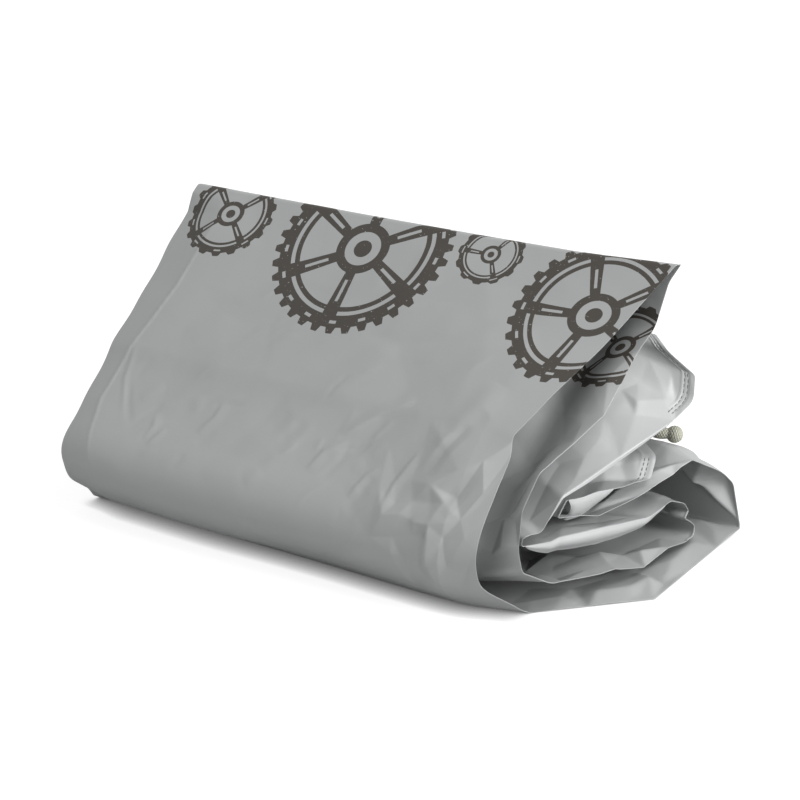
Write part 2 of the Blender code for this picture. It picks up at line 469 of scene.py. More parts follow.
@dataclass(frozen=True)
class Crease(Relief):
    """One crease along a path of (x, s) places.

    Attributes:
        path: where it runs.
        high: how far it stands out of the ply's front, or in where it is below zero.
        width: its reach to each side.
        press: how it meets the cloth; a leaning crease is steep on the right of its path.
    """

    path: tuple[Pair, ...]
    high: float
    width: float
    press: Press = Press.SOFT

    def height(self, x: np.ndarray, s: np.ndarray) -> np.ndarray:
        """Height that the crease adds.

        Args:
            x: places along the packet.
            s: places along the strip.

        Returns:
            The height at each place.
        """
        steepness, sharpness, blunt_ends = 3.0, 1.7, 3
        spans = [math.dist(p, q) for p, q in zip(self.path, self.path[1:])]
        away = np.full(x.shape, np.inf)
        side = np.ones(x.shape)
        share = np.zeros(x.shape)
        run = 0.0
        for (x0, s0), (x1, s1), span in zip(self.path, self.path[1:], spans):
            way_x, way_s = (x1 - x0) / span, (s1 - s0) / span
            along = np.clip((x - x0) * way_x + (s - s0) * way_s, 0, span)
            far = np.hypot(x - x0 - along * way_x, s - s0 - along * way_s)
            near = far < away
            away = np.where(near, far, away)
            side = np.where(near, np.sign((x - x0) * way_s - (s - s0) * way_x), side)
            share = np.where(near, (run + along) / sum(spans), share)
            run += span
        ends = np.clip(1.0 - np.abs(2 * share - 1) ** blunt_ends, 0.0, 1.0)
        reach = away / self.width
        if self.press is Press.SOFT:
            return self.high * np.exp(-(reach**2)) * ends
        if self.press is Press.SHARP:
            return self.high * np.clip(1 - reach, 0, 1) ** sharpness * ends
        if self.press is Press.LEAN:
            reach = np.where(side > 0, reach * steepness, reach)
        return self.high * np.clip(1 - reach, 0, 1) * ends


@dataclass(frozen=True)
class Swell(Relief):
    """A soft lump or dent: its middle (x, s), reach each way and height."""

    x: float
    s: float
    reach_x: float
    reach_s: float
    high: float

    def height(self, x: np.ndarray, s: np.ndarray) -> np.ndarray:
        """Height that the swell adds.

        Args:
            x: places along the packet.
            s: places along the strip.

        Returns:
            The height at each place.
        """
        off_x, off_s = (x - self.x) / self.reach_x, (s - self.s) / self.reach_s
        return self.high * np.exp(-(off_x**2) - off_s**2)


@dataclass(frozen=True)
class Turn(Relief):
    """Cloth that turns away beyond a line.

    Attributes:
        path: the line's (x, s) places, lowest s first.
        fall: how far the cloth falls over the width.
        width: how wide the fall is.
        side: 1 where the cloth beyond the line is at higher x, -1 where it is at lower x.
    """

    path: tuple[Pair, ...]
    fall: float
    width: float
    side: int

    def height(self, x: np.ndarray, s: np.ndarray) -> np.ndarray:
        """Height that the turn adds.

        Args:
            x: places along the packet.
            s: places along the strip.

        Returns:
            The height at each place.
        """
        most, end_reach, end_share = 1.4, 12, 0.2
        line = np.interp(s, [p[1] for p in self.path], [p[0] for p in self.path])
        beyond = np.clip((x - line) * self.side / self.width, 0, most)
        start = np.clip((s - self.path[0][1]) / end_reach + end_share, 0, 1)
        stop = np.clip((self.path[-1][1] - s) / end_reach + end_share, 0, 1)
        return -self.fall * beyond * (start * stop)


def facet_heights(places: list[Vector], levels: list[float], a: np.ndarray, b: np.ndarray) -> np.ndarray:
    """Heights of flat triangles that join the places.

    Args:
        places: the triangles' corners.
        levels: height at each corner.
        a: where the heights are wanted, first way, in one row.
        b: the same, second way.

    Returns:
        The height at each wanted place, 0 outside the triangles.
    """
    merge, slack = 1e-4, 1e-6
    corners, _, triangles, sources, _, _ = geometry.delaunay_2d_cdt(places, [], [], 0, merge)
    at = [levels[source[0]] if source else 0.0 for source in sources]
    height = np.zeros(len(a))
    order = np.argsort(a)
    sorted_a = a[order]
    for triangle in triangles:
        p, q, r = (corners[k] for k in triangle)
        low = np.searchsorted(sorted_a, min(p.x, q.x, r.x))
        high = np.searchsorted(sorted_a, max(p.x, q.x, r.x))
        area = (q.y - r.y) * (p.x - r.x) + (r.x - q.x) * (p.y - r.y)
        if high <= low or abs(area) < TINY:
            continue
        pick = order[low:high]
        off_a, off_b = a[pick] - r.x, b[pick] - r.y
        of_p = ((q.y - r.y) * off_a + (r.x - q.x) * off_b) / area
        of_q = ((r.y - p.y) * off_a + (p.x - r.x) * off_b) / area
        of_r = 1 - of_p - of_q
        inside = np.minimum(np.minimum(of_p, of_q), of_r) >= -slack
        level = of_p * at[triangle[0]] + of_q * at[triangle[1]] + of_r * at[triangle[2]]
        height[pick[inside]] = level[inside]
    return height


@dataclass(frozen=True)
class Facets(Relief):
    """Flat facets that meet in straight creases, between places given as (x, s, height)."""

    places: tuple[Triple, ...]
    blur: int = 1

    def height(self, x: np.ndarray, s: np.ndarray) -> np.ndarray:
        """Height that the facets add.

        Args:
            x: places along the packet.
            s: places along the strip.

        Returns:
            The height at each place.
        """
        corners = [Vector(p[:2]) for p in self.places]
        level = facet_heights(corners, [p[2] for p in self.places], x.ravel(), s.ravel()).reshape(x.shape)
        for _ in range(self.blur):
            level = soften(level)
        return level


@dataclass(frozen=True)
class Crumple(Relief):
    """A patch of crumpled film: flat facets that meet in sharp creases.

    Attributes:
        x, s: the patch's middle.
        reach_x, reach_s: its reach each way.
        facet: size of a facet.
        high: how far the corners stand up or down.
        seed: which crumple it is.
        blur: rounds of smoothing, 0 for crisp creases.
        turn: how the facets stretch, degrees.
        stretch: how long they are for their width.
    """

    x: float
    s: float
    reach_x: float
    reach_s: float
    facet: float
    high: float
    seed: int
    blur: int = 0
    turn: float = 0.0
    stretch: float = 1.0

    def height(self, x: np.ndarray, s: np.ndarray) -> np.ndarray:
        """Height that the patch adds.

        Args:
            x: places along the packet.
            s: places along the strip.

        Returns:
            The height at each place.
        """
        stray, spare_rows = 0.42, 3
        rng = random.Random(self.seed)
        cos, sin = math.cos(math.radians(self.turn)), math.sin(math.radians(self.turn))
        off_x, off_s = x - self.x, s - self.s
        near = (np.abs(off_x) < self.reach_x) & (np.abs(off_s) < self.reach_s)
        level = np.zeros_like(x)
        if not near.any():
            return level
        a = ((off_x * cos + off_s * sin) / self.stretch)[near]
        b = (-off_x * sin + off_s * cos)[near]
        corners, heights = [], []
        for i in range(int(np.ptp(a) / self.facet) + spare_rows):
            for j in range(int(np.ptp(b) / self.facet) + spare_rows):
                at_a = a.min() + (i - 1 + rng.uniform(-stray, stray) + 0.5 * (j % 2)) * self.facet
                at_b = b.min() + (j - 1 + rng.uniform(-stray, stray)) * self.facet
                corners.append(Vector((at_a, at_b)))
                heights.append(rng.uniform(-1, 1))
        level[near] = facet_heights(corners, heights, a, b)
        fade_x = np.clip(1 - (off_x / self.reach_x) ** 2, 0, 1)
        level *= np.sqrt(fade_x * np.clip(1 - (off_s / self.reach_s) ** 2, 0, 1))
        for _ in range(self.blur):
            level = soften(level)
        return level * self.high


def drag_lines(seed: int, count: int, area: tuple[float, ...], angle: float,
               high: float) -> tuple[Crease, ...]:
    """Short fine creases that run much the same way.

    Args:
        seed: which set it is.
        count: how many.
        area: the lowest x and s, then the highest.
        angle: the way they run, degrees from x.
        high: how far the strongest stands out or in.

    Returns:
        The creases.
    """
    stray_angle, halves, bow, weakest, widths = 16, (4, 15), 0.25, 0.35, (2.2, 5)
    rng = random.Random(seed)
    lines = []
    for _ in range(count):
        x, s = rng.uniform(area[0], area[2]), rng.uniform(area[1], area[3])
        way = math.radians(angle + rng.gauss(0, stray_angle))
        half = rng.uniform(*halves)
        bend = rng.uniform(-bow, bow) * half
        dx, ds = math.cos(way) * half, math.sin(way) * half
        middle = (x - math.sin(way) * bend, s + math.cos(way) * bend)
        press = rng.choice((Press.LEAN, Press.TENT, Press.SOFT))
        out = high * rng.choice((-1, 1)) * rng.uniform(weakest, 1)
        lines.append(Crease(((x - dx, s - ds), middle, (x + dx, s + ds)), out, rng.uniform(*widths), press))
    return tuple(lines)


# ---- each ply's own relief ----------------------------------------------------------------------
#
# Places are (x, s), and a facet's are (x, s, height). The facets' outer places, of height 0, hold them
# level with the cloth around them.


# Folds of the rolled tip.
TIP_RELIEF: tuple[Relief, ...] = (
    Facets(
        (
            (90, -780, 0), (90, -700, 0), (90, -670, 0), (185, -780, 0), (185, -700, 0), (185, -670, 0),
            (126, -697, -0.8), (132, -714, 0.8), (141, -728, -0.6), (142, -743, 0.8), (142, -703, 0.6),
        )
    ),
)

# Folds of the lap, the hump and the back wall.
HUMP_RELIEF: tuple[Relief, ...] = (
    Crumple(-20, -540, 190, 70, 34, 1.3, 69, blur=1, turn=10, stretch=2.4),
    Crumple(-172, -580, 34, 130, 16, 1.2, 70, turn=70, stretch=1.5),
    *drag_lines(113, 60, (-178, -590, 110, -485), 82, 0.5),
    Crumple(148, -570, 44, 100, 9, 0.18, 80, turn=45, stretch=1.9),
    Swell(155, -522, 16, 26, 7.5),
    Facets(
        (
            (95, -675, 0), (95, -620, 0), (95, -560, 0), (95, -510, 0), (95, -477, 0),
            (195, -675, 0), (195, -620, 0), (195, -560, 0), (195, -510, 0), (195, -477, 0),
            (121, -608, 0), (127, -640, 0.6), (140, -647, 1.4), (130, -607, -0.6), (134, -604, -1.8),
            (143, -635, 1.0), (136, -619, -1.4), (139, -609, 1.0), (142, -592, 2.4), (149, -581, 2.6),
            (154, -571, 2.2), (158, -563, 0.6), (131, -598, -2.8), (135, -585, -3.6), (142, -574, -2.6),
            (146, -565, -0.8), (155, -601, 0), (160, -585, 0), (161, -563, 1.8), (164, -573, -1.0),
            (166, -566, 0.8), (169, -557, 0.4), (150, -545, 0.8), (165, -535, -0.6), (173, -512, 0.4),
            (172, -502, 0.8), (169, -486, -7.0), (155, -493, -12.0), (178, -506, 0), (182, -478, 0),
            (140, -494, -5.0), (120, -495, -1.5), (150, -479, 0), (170, -479, 0),
        )
    ),
)

# Folds of the ply on the floor.
UNDER_RELIEF: tuple[Relief, ...] = (
    Crumple(150, -370, 60, 90, 11, 0.25, 84, turn=40, stretch=1.6),
    Facets(
        (
            (70, -470, 0), (70, -380, 0), (70, -280, 0), (200, -470, 0), (200, -354, 0), (150, -270, 0),
            (118, -276, 0), (185, -354, 0.2), (180, -372, 0.4), (172, -365, 4.2), (160, -366, 1.0),
            (176, -350, 1.4), (168, -345, 3.6), (155, -325, 3.4), (141, -303, 3.2), (127, -286, 1.2),
            (174, -336, 0.2), (158, -312, 0.2), (144, -292, 0.2), (132, -276, 0), (150, -345, 0.4),
            (138, -318, 0.4), (118, -300, 0.2), (172, -395, 3.8), (171, -425, 3.4), (172, -452, 2.4),
            (184, -400, 0.2), (183, -440, 0.2), (158, -400, 0.6), (156, -440, 0.6), (140, -375, 0.4),
        ),
        blur=1,
    ),
)

# Creases, lumps and crumples of the broad front ply.
FACE_RELIEF: tuple[Relief, ...] = (
    Crumple(-20, -110, 175, 125, 38, 1.2, 3, blur=6),
    Crumple(-20, -120, 170, 130, 15, 0.28, 5, blur=1, turn=35, stretch=1.5),
    Crumple(90, -186, 38, 54, 8, 0.4, 7, turn=60, stretch=1.8),
    *drag_lines(103, 30, (-160, -225, 40, -120), 58, 0.4),
    *drag_lines(107, 24, (-150, -135, 90, -20), 35, 0.22),
    *drag_lines(109, 18, (10, -230, 100, -140), 62, 0.45),
    Turn(
        (
            (-156, -262), (-158, -228), (-160, -213), (-168, -189), (-173, -168), (-171, -130),
            (-161, -80), (-158, -36), (-157, -12),
        ),
        4.2, 26, -1,
    ),
    Crease(
        ((-158, -20), (-161, -80), (-171, -130), (-173, -168), (-168, -189), (-159, -215)),
        0.7, 2.0, Press.SHARP,
    ),
    Crease(((-168, -125), (-164, -150), (-152, -172)), 0.5, 4.0, Press.LEAN),
    Crease(((-160, -151), (-152, -165), (-141, -180)), -0.4, 4.0, Press.TENT),
    Crease(((-128, -168), (-124, -176), (-127, -186)), 0.45, 5.0, Press.LEAN),
    Crease(((-84, -148), (-85, -160), (-92, -173)), 0.6, 7.0, Press.LEAN),
    Crease(((-104, -148), (-99, -160)), 0.4, 5.0),
    Crease(((-115, -176), (-122, -189)), 0.5, 5.0, Press.LEAN),
    Crease(((12, -154), (0, -163), (-6, -178)), 0.7, 6.0, Press.LEAN),
    Crease(((6, -151), (25, -133), (44, -120)), 1.2, 7.0, Press.LEAN),
    Crease(((10, -166), (30, -139), (50, -128)), -0.5, 6.0),
    Crease(((-13, -82), (17, -86), (45, -76), (72, -58)), -0.5, 5.0),
    Crease(((40, -166), (34, -172), (28, -188)), 0.6, 5.0, Press.LEAN),
    Crease(((62, -148), (54, -172), (53, -190)), 1.0, 5.5, Press.LEAN),
    Crease(((70, -137), (82, -132), (93, -118)), -0.9, 6.0),
    Crease(((92, -98), (84, -122), (74, -147)), 1.2, 8.0),
    Crease(((86, -128), (78, -146), (72, -165)), -1.2, 5.0, Press.TENT),
    Facets(
        (
            (20, -235, 0), (20, -180, 0), (40, -150, 0), (60, -130, 0), (90, -125, 0), (140, -120, 0),
            (140, -180, 0), (140, -240, 0), (80, -248, 0),
            (118, -143, 1.2), (104, -150, 2), (92, -157, 2.6), (78, -169, 2.2), (73, -191, 0.4),
            (117, -154, -0.8), (96, -172, -1.7), (82, -179, -1.2), (90, -177, 1), (111, -172, 1),
            (66, -190, 1.4), (77, -200, -1.2), (77, -193, 1.2), (83, -198, -1.7), (86, -192, 2.2),
            (87, -203, 1.2), (82, -206, -1.4), (88, -214, 2), (83, -221, -0.8), (93, -226, 1),
            (97, -197, -1), (104, -186, 1), (110, -200, 0.2), (101, -214, -0.6),
            (55, -193, 1.4), (64, -204, -1), (65, -214, 1), (60, -184, -1), (72, -216, -1),
            (49, -207, -0.6), (46, -178, 0.6), (52, -168, -0.8), (64, -168, -1), (70, -180, -0.8),
        ),
        blur=0,
    ),
)

# Folds of the ply behind the ridge.
NECK_RELIEF: tuple[Relief, ...] = (
    Crumple(-60, 60, 170, 75, 34, 0.9, 38, blur=2, turn=15, stretch=2.0),
    Crumple(-175, 90, 34, 120, 15, 1.1, 39, turn=70, stretch=1.5),
    *drag_lines(111, 30, (-175, 14, 100, 70), 80, 0.4),
    Crumple(132, 110, 36, 120, 10, 0.16, 44, turn=60, stretch=1.8),
    Crease(((122, 10), (118, 80), (114, 150), (112, 235)), -9.0, 15.0),
    Facets(
        (
            (90, 0, 0), (90, 60, 0), (90, 120, 0), (90, 180, 0), (90, 245, 0),
            (185, 10, 0), (185, 80, 0), (185, 120, 0), (185, 180, 0), (185, 245, 0),
            (152, 46, 0), (150, 65, 0.6), (141, 86, 1.4), (152, 86, -1.0), (149, 113, 1.6),
            (140, 122, 0.8), (133, 132, -2.2), (115, 144, -3.4), (127, 99, 0.6), (121, 104, -0.6),
            (133, 92, 1.2), (143, 140, 0.8), (139, 171, 1.8), (131, 164, -0.8), (134, 180, 0.8),
            (125, 183, -2.0), (135, 194, 1.2), (131, 200, -1.4), (122, 193, -2.2), (135, 215, 0.8),
            (124, 211, 1.2), (118, 217, -1.0), (135, 229, 0),
        )
    ),
    Crease(((124, 150), (132, 160), (139, 150)), 0.8, 7.0, Press.TENT),
)

# Folds of the roll's lowest ply, seen from above.
BASE_RELIEF: tuple[Relief, ...] = (
    Crumple(144, 300, 44, 66, 9, 0.2, 48, turn=20, stretch=1.8),
    Facets(
        (
            (70, 230, 0), (70, 300, 0), (70, 380, 0), (190, 230, 0), (190, 300, 0), (190, 385, 0),
            (91, 315, 0.5), (114, 305, 3.2), (113, 279, -0.8), (136, 275, -2.7), (149, 262, 1.1),
            (131, 306, 2.4), (140, 321, 3.5), (162, 306, 2.2), (154, 309, 2.7), (131, 321, -1.6),
            (103, 304, -1.4), (125, 290, 0.3), (148, 290, 1.4), (148, 336, -2.2), (150, 352, -2.4),
            (158, 343, 1.6), (165, 358, 1.4), (167, 336, -4.6), (155, 372, -0.8), (170, 378, 0),
        )
    ),
)

# Folds of the roll's top and curls.
ROLL_RELIEF: tuple[Relief, ...] = (
    Facets(
        (
            (80, 385, 0), (80, 447, 0), (80, 507, 0), (80, 572, 0),
            (190, 385, 0), (190, 447, 0), (190, 507, 0), (190, 572, 0),
            (128, 538, -1.0), (129, 514, 1.2), (137, 535, 0.6), (140, 485, -0.8), (131, 477, 0.9),
            (146, 501, 0.8), (150, 467, 0.9), (146, 447, -0.8), (158, 457, 0.6), (158, 445, -0.6),
            (150, 412, 0.6), (160, 405, -0.8), (166, 398, 0.6),
        )
    ),
    Crumple(142, 477, 40, 100, 9, 0.2, 54, turn=80, stretch=1.8),
)

# Folds of the hemmed flap.
FLAP_RELIEF: tuple[Relief, ...] = (
    Crumple(142, 672, 42, 95, 9, 0.14, 62, turn=45, stretch=1.8),
    Crumple(-170, 687, 36, 110, 16, 1.0, 63, turn=70, stretch=1.5),
    Facets(
        (
            (96, 579, 0), (96, 647, 0), (96, 707, 0), (96, 782, 0),
            (190, 579, 0), (190, 647, 0), (190, 707, 0), (190, 782, 0),
            (141, 752, 0.8), (139, 724, 0.2), (139, 707, -0.4), (153, 727, -0.1), (156, 710, 0.7),
            (164, 735, 0.4), (146, 688, -0.5), (165, 707, -1.5), (143, 695, 1.0), (133, 697, -0.9),
            (132, 674, -1.8), (137, 659, 1.2), (146, 657, 0.5), (136, 640, 1.0), (126, 628, -2.4),
            (127, 611, -2.2), (140, 624, 0.6), (141, 609, 1.0), (152, 659, 0.2), (127, 585, -1.2),
        )
    ),
)

# Folds of the ply that falls behind the flap and of its return inside.
REAR_RELIEF: tuple[Relief, ...] = (
    Crumple(-25, 817, 175, 55, 32, 1.5, 87, blur=1, turn=10, stretch=2.4),
    Crumple(-25, 817, 175, 55, 13, 0.35, 88, turn=80, stretch=1.6),
    Crumple(-168, 887, 34, 120, 16, 1.1, 89, turn=70, stretch=1.5),
    Crumple(112, 819, 30, 50, 15, 1.6, 91, turn=75, stretch=1.5),
    *drag_lines(117, 60, (-175, 775, 120, 863), 80, 0.6),
)


# ---- finishes -----------------------------------------------------------------------------------


class Nodes:
    """Adds shader nodes to a tree and joins them."""

    def __init__(self, tree: bpy.types.NodeTree) -> None:
        """Keeps the tree that nodes go into."""
        self.tree = tree

    def add(self, kind: str, **values: object) -> bpy.types.Node:
        """Adds a node.

        Args:
            kind: Blender's name of the node.
            values: attributes to set on it.

        Returns:
            The node.
        """
        node = self.tree.nodes.new(kind)
        for name, value in values.items():
            setattr(node, name, value)
        return node

    def put(self, socket: bpy.types.NodeSocket, value: object) -> None:
        """Feeds a socket.

        Args:
            socket: the socket to feed.
            value: an output to join to it, or a plain value to set.
        """
        if isinstance(value, bpy.types.NodeSocket):
            self.tree.links.new(value, socket)
        else:
            socket.default_value = value

    def math(self, operation: str, *values: object) -> bpy.types.NodeSocket:
        """A Math node's result.

        Args:
            operation: which one.
            values: its values or outputs, in order.

        Returns:
            The node's output.
        """
        node = self.add("ShaderNodeMath", operation=operation)
        for socket, value in zip(node.inputs, values):
            self.put(socket, value)
        return node.outputs[0]

    def mix(self, share: object, first: tuple[float, ...] | bpy.types.NodeSocket,
            second: tuple[float, ...]) -> bpy.types.NodeSocket:
        """A colour between two.

        Args:
            share: how much there is of the second.
            first: the first colour.
            second: the second colour.

        Returns:
            The node's output.
        """
        node = self.add("ShaderNodeMix", data_type="RGBA")
        colours = [socket for socket in node.inputs if socket.type == "RGBA"]
        self.put(node.inputs["Factor"], share)
        self.put(colours[0], first)
        self.put(colours[1], second)
        return next(socket for socket in node.outputs if socket.type == "RGBA")

    def noise(self, place: object, scale: object, detail: float) -> bpy.types.NodeSocket:
        """Cloudy noise.

        Args:
            place: where it is read.
            scale: how fine it is.
            detail: how many finer clouds lie over the first.

        Returns:
            The noise as a value.
        """
        node = self.add("ShaderNodeTexNoise")
        self.put(node.inputs["Vector"], place)
        self.put(node.inputs["Scale"], scale)
        self.put(node.inputs["Detail"], detail)
        return node.outputs["Fac"]

    def use(self, group: bpy.types.NodeTree, values: dict[str, object]) -> bpy.types.NodeSocket:
        """Places a group.

        Args:
            group: the group.
            values: what feeds its inputs, by their names.

        Returns:
            The group's first output.
        """
        node = self.add("ShaderNodeGroup", node_tree=group)
        for title, value in values.items():
            self.put(node.inputs[title], value)
        return node.outputs[0]


class Group(Nodes):
    """A shader node group under way."""

    def __init__(self, name: str, floats: tuple[str, ...], result: str) -> None:
        """Makes the group with its sockets.

        Args:
            name: the group's name.
            floats: names of its inputs beside Place.
            result: name of its one output.
        """
        super().__init__(bpy.data.node_groups.new(name, "ShaderNodeTree"))
        self.tree.interface.new_socket("Place", in_out="INPUT", socket_type="NodeSocketVector")
        for title in floats:
            self.tree.interface.new_socket(title, in_out="INPUT", socket_type="NodeSocketFloat")
        self.tree.interface.new_socket(result, in_out="OUTPUT", socket_type="NodeSocketFloat")
        self.start = self.add("NodeGroupInput").outputs
        self.end = self.add("NodeGroupOutput").inputs


class Surface(Nodes):
    """A material under way: its nodes and its one shader."""

    def __init__(self, name: str) -> None:
        """Makes the material.

        Args:
            name: the material's name.
        """
        self.material = bpy.data.materials.new(name)
        self.material.use_nodes = True
        super().__init__(self.material.node_tree)
        self.shader = self.tree.nodes["Principled BSDF"].inputs

    def wear(self, **values: object) -> None:
        """Feeds the shader's sockets, whose names are given with _ for a space."""
        for title, value in values.items():
            self.put(self.shader[title.replace("_", " ")], value)

    def press(self, height: bpy.types.NodeSocket, strength: float, depth: float) -> None:
        """Lets a height bend the light.

        Args:
            height: the height, from 0 to 1.
            strength: how much of it shows.
            depth: metres that a height of 1 stands for.
        """
        bump = self.add("ShaderNodeBump")
        self.put(bump.inputs["Strength"], strength)
        self.put(bump.inputs["Distance"], depth)
        self.put(bump.inputs["Height"], height)
        self.wear(Normal=bump.outputs[0])


@dataclass(frozen=True)
class CogPrint:
    """The printed cog: a toothed rim with slots, a thin ring, slit arms and a hub, as one mask.

    Attributes:
        edge: radius of the rim's edge; this and every size below is a share of the cog's radius.
        tooth: how far a tooth stands out of the edge, and a gap in.
        steep: how steep a tooth's flanks are.
        rim: radius where the rim starts.
        slots: the ring of slots in the rim.
        slot_share: cosine past which a slot is open.
        ring: the thin ring.
        arms: where the arms run.
        arm_half: half an arm's width at the middle.
        arm_taper: how much wider it is a radius further out.
        slits: where the arms' slits run.
        slit_half: half a slit's width.
        hub: the hub's ring.
        pin: the disc in the hub.
    """

    edge: float = 0.975
    tooth: float = 0.035
    steep: float = 2.2
    rim: float = 0.80
    slots: Pair = (0.86, 0.895)
    slot_share: float = 0.72
    ring: Pair = (0.70, 0.755)
    arms: Pair = (0.25, 0.82)
    arm_half: float = 0.045
    arm_taper: float = 0.05
    slits: Pair = (0.38, 0.64)
    slit_half: float = 0.018
    hub: Pair = (0.20, 0.30)
    pin: Pair = (-1.0, 0.10)

    def build(self) -> bpy.types.NodeTree:
        """The mask's group.

        Returns:
            A group with the cog's place, size, teeth and arms as inputs, and its ink as output.
        """
        n = Group("printed_cog", ("Centre X", "Centre S", "Radius", "Teeth", "Arms"), "Ink")
        split = n.add("ShaderNodeSeparateXYZ")
        n.put(split.inputs[0], n.start["Place"])
        off_x = n.math("SUBTRACT", split.outputs[0], n.start["Centre X"])
        off_s = n.math("SUBTRACT", split.outputs[1], n.start["Centre S"])
        squares = [n.math("MULTIPLY", off, off) for off in (off_x, off_s)]
        far = n.math("SQRT", n.math("ADD", *squares))
        ratio = n.math("DIVIDE", far, n.start["Radius"])
        angle = n.math("ARCTAN2", off_s, off_x)

        def wave(count: bpy.types.NodeSocket) -> bpy.types.NodeSocket:
            """A wave that comes round that many times."""
            return n.math("COSINE", n.math("MULTIPLY", angle, count))

        def band(limits: tuple[object, object]) -> bpy.types.NodeSocket:
            """Mask of the ring between two shares of the radius."""
            low, high = limits
            return n.math("MULTIPLY", n.math("GREATER_THAN", ratio, low), n.math("LESS_THAN", ratio, high))

        def without(mask: bpy.types.NodeSocket, hole: bpy.types.NodeSocket) -> bpy.types.NodeSocket:
            """A mask with a hole in it."""
            return n.math("MULTIPLY", mask, n.math("SUBTRACT", 1.0, hole))

        tooth = n.math("MULTIPLY", wave(n.start["Teeth"]), self.steep)
        tooth = n.math("MAXIMUM", n.math("MINIMUM", tooth, 1.0), -1.0)
        outside = n.math("MULTIPLY_ADD", tooth, self.tooth, self.edge)
        slot = n.math("GREATER_THAN", wave(n.math("MULTIPLY", n.start["Teeth"], 0.5)), self.slot_share)
        rim = without(band((self.rim, outside)), n.math("MULTIPLY", slot, band(self.slots)))
        turn = n.math("DIVIDE", math.tau, n.start["Arms"])
        sector = n.math("SUBTRACT", n.math("FLOORED_MODULO", angle, turn), n.math("MULTIPLY", turn, 0.5))
        off = n.math("MULTIPLY", ratio, n.math("ABSOLUTE", n.math("SINE", sector)))
        half = n.math("MULTIPLY_ADD", ratio, self.arm_taper, self.arm_half)
        arm = n.math("MULTIPLY", n.math("LESS_THAN", off, half), band(self.arms))
        arm = n.math("MULTIPLY", arm, n.math("GREATER_THAN", n.math("COSINE", sector), 0.0))
        arm = without(arm, n.math("MULTIPLY", n.math("LESS_THAN", off, self.slit_half), band(self.slits)))
        hub = n.math("MAXIMUM", band(self.hub), band(self.pin))
        rims = n.math("MAXIMUM", rim, band(self.ring))
        n.put(n.end["Ink"], n.math("MAXIMUM", rims, n.math("MAXIMUM", arm, hub)))
        return n.tree


@dataclass(frozen=True)
class Grain:
    """Fine pressed grain of plastic film, thread and cord.

    Attributes:
        fine_detail, coarse_detail: how many finer clouds lie over its fine and its coarse part.
        coarse_scale: how fine the coarse part is, as a share of the fine one.
        coarse_height: how high the coarse part stands beside the fine one.
    """

    fine_detail: float = 3.0
    coarse_detail: float = 4.0
    coarse_scale: float = 0.12
    coarse_height: float = 1.4

    def build(self) -> bpy.types.NodeTree:
        """The grain's group.

        Returns:
            A group with a place and a fineness as inputs and a height as output.
        """
        n = Group("film_grain", ("Fineness",), "Height")
        place, fineness = n.start["Place"], n.start["Fineness"]
        fine = n.noise(place, fineness, self.fine_detail)
        coarse = n.noise(place, n.math("MULTIPLY", fineness, self.coarse_scale), self.coarse_detail)
        n.put(n.end["Height"], n.math("MULTIPLY_ADD", coarse, self.coarse_height, fine))
        return n.tree


@dataclass(frozen=True)
class Motif:
    """One printed cog: its middle along x and s, its radius, teeth and arms."""

    x: float
    s: float
    radius: float
    teeth: int
    arms: int


